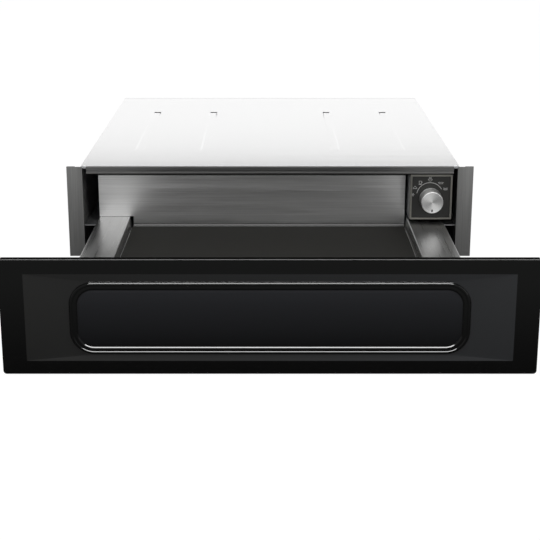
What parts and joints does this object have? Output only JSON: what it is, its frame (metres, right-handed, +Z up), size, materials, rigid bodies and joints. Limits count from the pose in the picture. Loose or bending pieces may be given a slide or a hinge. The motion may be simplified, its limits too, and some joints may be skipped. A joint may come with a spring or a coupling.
{
  "type": "built-in warming drawer",
  "caption": "Built-in warming drawer with a dark pressed front, pulled out on telescopic runners to show a matted steel tray and a rotary thermostat knob.",
  "frame": {"origin": "middle of the housing's underside", "axes": "+X to the user's right, +Y to the back of the niche, +Z up"},
  "size_m": [0.597, 0.9875, 0.136],
  "materials": {
    "housing_steel": "galvanised sheet, faint spangle",
    "frame_steel": "vertically brushed, dark grey",
    "control_frame": "satin grey",
    "fascia": "fine speckle, satin",
    "black_plastic": "moulded, matt",
    "pale_plastic": "moulded, satin",
    "pale_ceramic": "unglazed",
    "runner_steel": "zinc plated",
    "knob_aluminium": "spun face, radial highlights",
    "fan_aluminium": "pressed sheet",
    "heater_sheath": "heat darkened",
    "drawer_steel": "brushed stainless steel",
    "mat_rubber": "matt, fine pebble grain",
    "front_lacquer": "smooth semi-gloss graphite lacquer",
    "liner_steel": "satin grey powder coat",
    "seal_rubber": "matt"
  },
  "bodies": {
    "housing": {"base_pan": "housing_steel", "top_cover": "housing_steel", "rear_panel": "housing_steel", "side_wall_right": "housing_steel", "side_wall_left": "housing_steel", "stile_right": "frame_steel", "stile_left": "frame_steel", "top_strip": "frame_steel", "rail_bracket_right": "housing_steel", "rail_bracket_left": "housing_steel", "control_box": "housing_steel", "control_frame": "control_frame", "control_fascia": "fascia", "thermostat_body": "black_plastic", "partition": "housing_steel", "fan_housing": "housing_steel", "fan_motor": "black_plastic", "heater_element": "heater_sheath", "safety_cutout": "pale_ceramic", "terminal_block": "pale_plastic", "cable_gland": "black_plastic", "push_latch_body": "black_plastic", "rail_outer_right": "runner_steel", "rail_outer_left": "runner_steel"},
    "drawer": {"tray": "drawer_steel", "rear_wall": "drawer_steel", "drawer_mat": "mat_rubber", "drawer_side_right": "drawer_steel", "drawer_side_left": "drawer_steel", "cross_member_front": "drawer_steel", "cross_member_rear": "drawer_steel", "latch_striker": "runner_steel", "front_panel": "front_lacquer", "front_liner": "liner_steel", "knob_cup": "black_plastic", "front_bracket_right": "runner_steel", "front_bracket_left": "runner_steel", "front_seal_right": "seal_rubber", "front_seal_left": "seal_rubber", "front_seal_top": "seal_rubber", "rail_inner_right": "runner_steel", "rail_inner_left": "runner_steel"},
    "runner_right": {"rail_middle_right": "runner_steel"},
    "runner_left": {"rail_middle_left": "runner_steel"},
    "outer_cage_right": {"ball_cage_outer_right": "runner_steel"},
    "outer_cage_left": {"ball_cage_outer_left": "runner_steel"},
    "inner_cage_right": {"ball_cage_inner_right": "runner_steel"},
    "inner_cage_left": {"ball_cage_inner_left": "runner_steel"},
    "knob": {"knob": "knob_aluminium", "thermostat_spindle": "runner_steel"},
    "fan": {"fan_impeller": "fan_aluminium"},
    "latch_plunger": {"push_latch_plunger": "pale_plastic"}
  },
  "joints": [
    {"name": "drawer_slide", "type": "slide", "parent": "housing", "child": "drawer", "axis": [0, -1, 0], "range_m": [-0.3965, 0]},
    {"name": "runner_right_slide", "type": "slide", "parent": "housing", "child": "runner_right", "axis": [0, -1, 0], "range_m": [-0.1984, 0]},
    {"name": "runner_left_slide", "type": "slide", "parent": "housing", "child": "runner_left", "axis": [0, -1, 0], "range_m": [-0.1984, 0]},
    {"name": "outer_cage_right_roll", "type": "slide", "parent": "housing", "child": "outer_cage_right", "axis": [0, -1, 0], "range_m": [-0.0992, 0]},
    {"name": "outer_cage_left_roll", "type": "slide", "parent": "housing", "child": "outer_cage_left", "axis": [0, -1, 0], "range_m": [-0.0992, 0]},
    {"name": "inner_cage_right_roll", "type": "slide", "parent": "housing", "child": "inner_cage_right", "axis": [0, -1, 0], "range_m": [-0.2975, 0]},
    {"name": "inner_cage_left_roll", "type": "slide", "parent": "housing", "child": "inner_cage_left", "axis": [0, -1, 0], "range_m": [-0.2975, 0]},
    {"name": "knob_turn", "type": "hinge", "parent": "housing", "child": "knob", "pos_m": [0.233, -0.28, 0.0868], "axis": [0, 1, 0], "range_deg": [0, 250]},
    {"name": "fan_spin", "type": "hinge", "parent": "housing", "child": "fan", "pos_m": [0.02, 0.1865, 0.062], "axis": [0, 1, 0], "continuous": true},
    {"name": "latch_press", "type": "slide", "parent": "housing", "child": "latch_plunger", "axis": [0, 1, 0], "range_m": [0, 0.005], "stiffness_N_per_m": 500, "springref_m": -0.004}
  ],
  "couplings": [
    {"joint": "runner_right_slide", "follows": "drawer_slide", "ratio": 0.5},
    {"joint": "runner_left_slide", "follows": "drawer_slide", "ratio": 0.5},
    {"joint": "outer_cage_right_roll", "follows": "drawer_slide", "ratio": 0.25},
    {"joint": "outer_cage_left_roll", "follows": "drawer_slide", "ratio": 0.25},
    {"joint": "inner_cage_right_roll", "follows": "drawer_slide", "ratio": 0.75},
    {"joint": "inner_cage_left_roll", "follows": "drawer_slide", "ratio": 0.75}
  ]
}
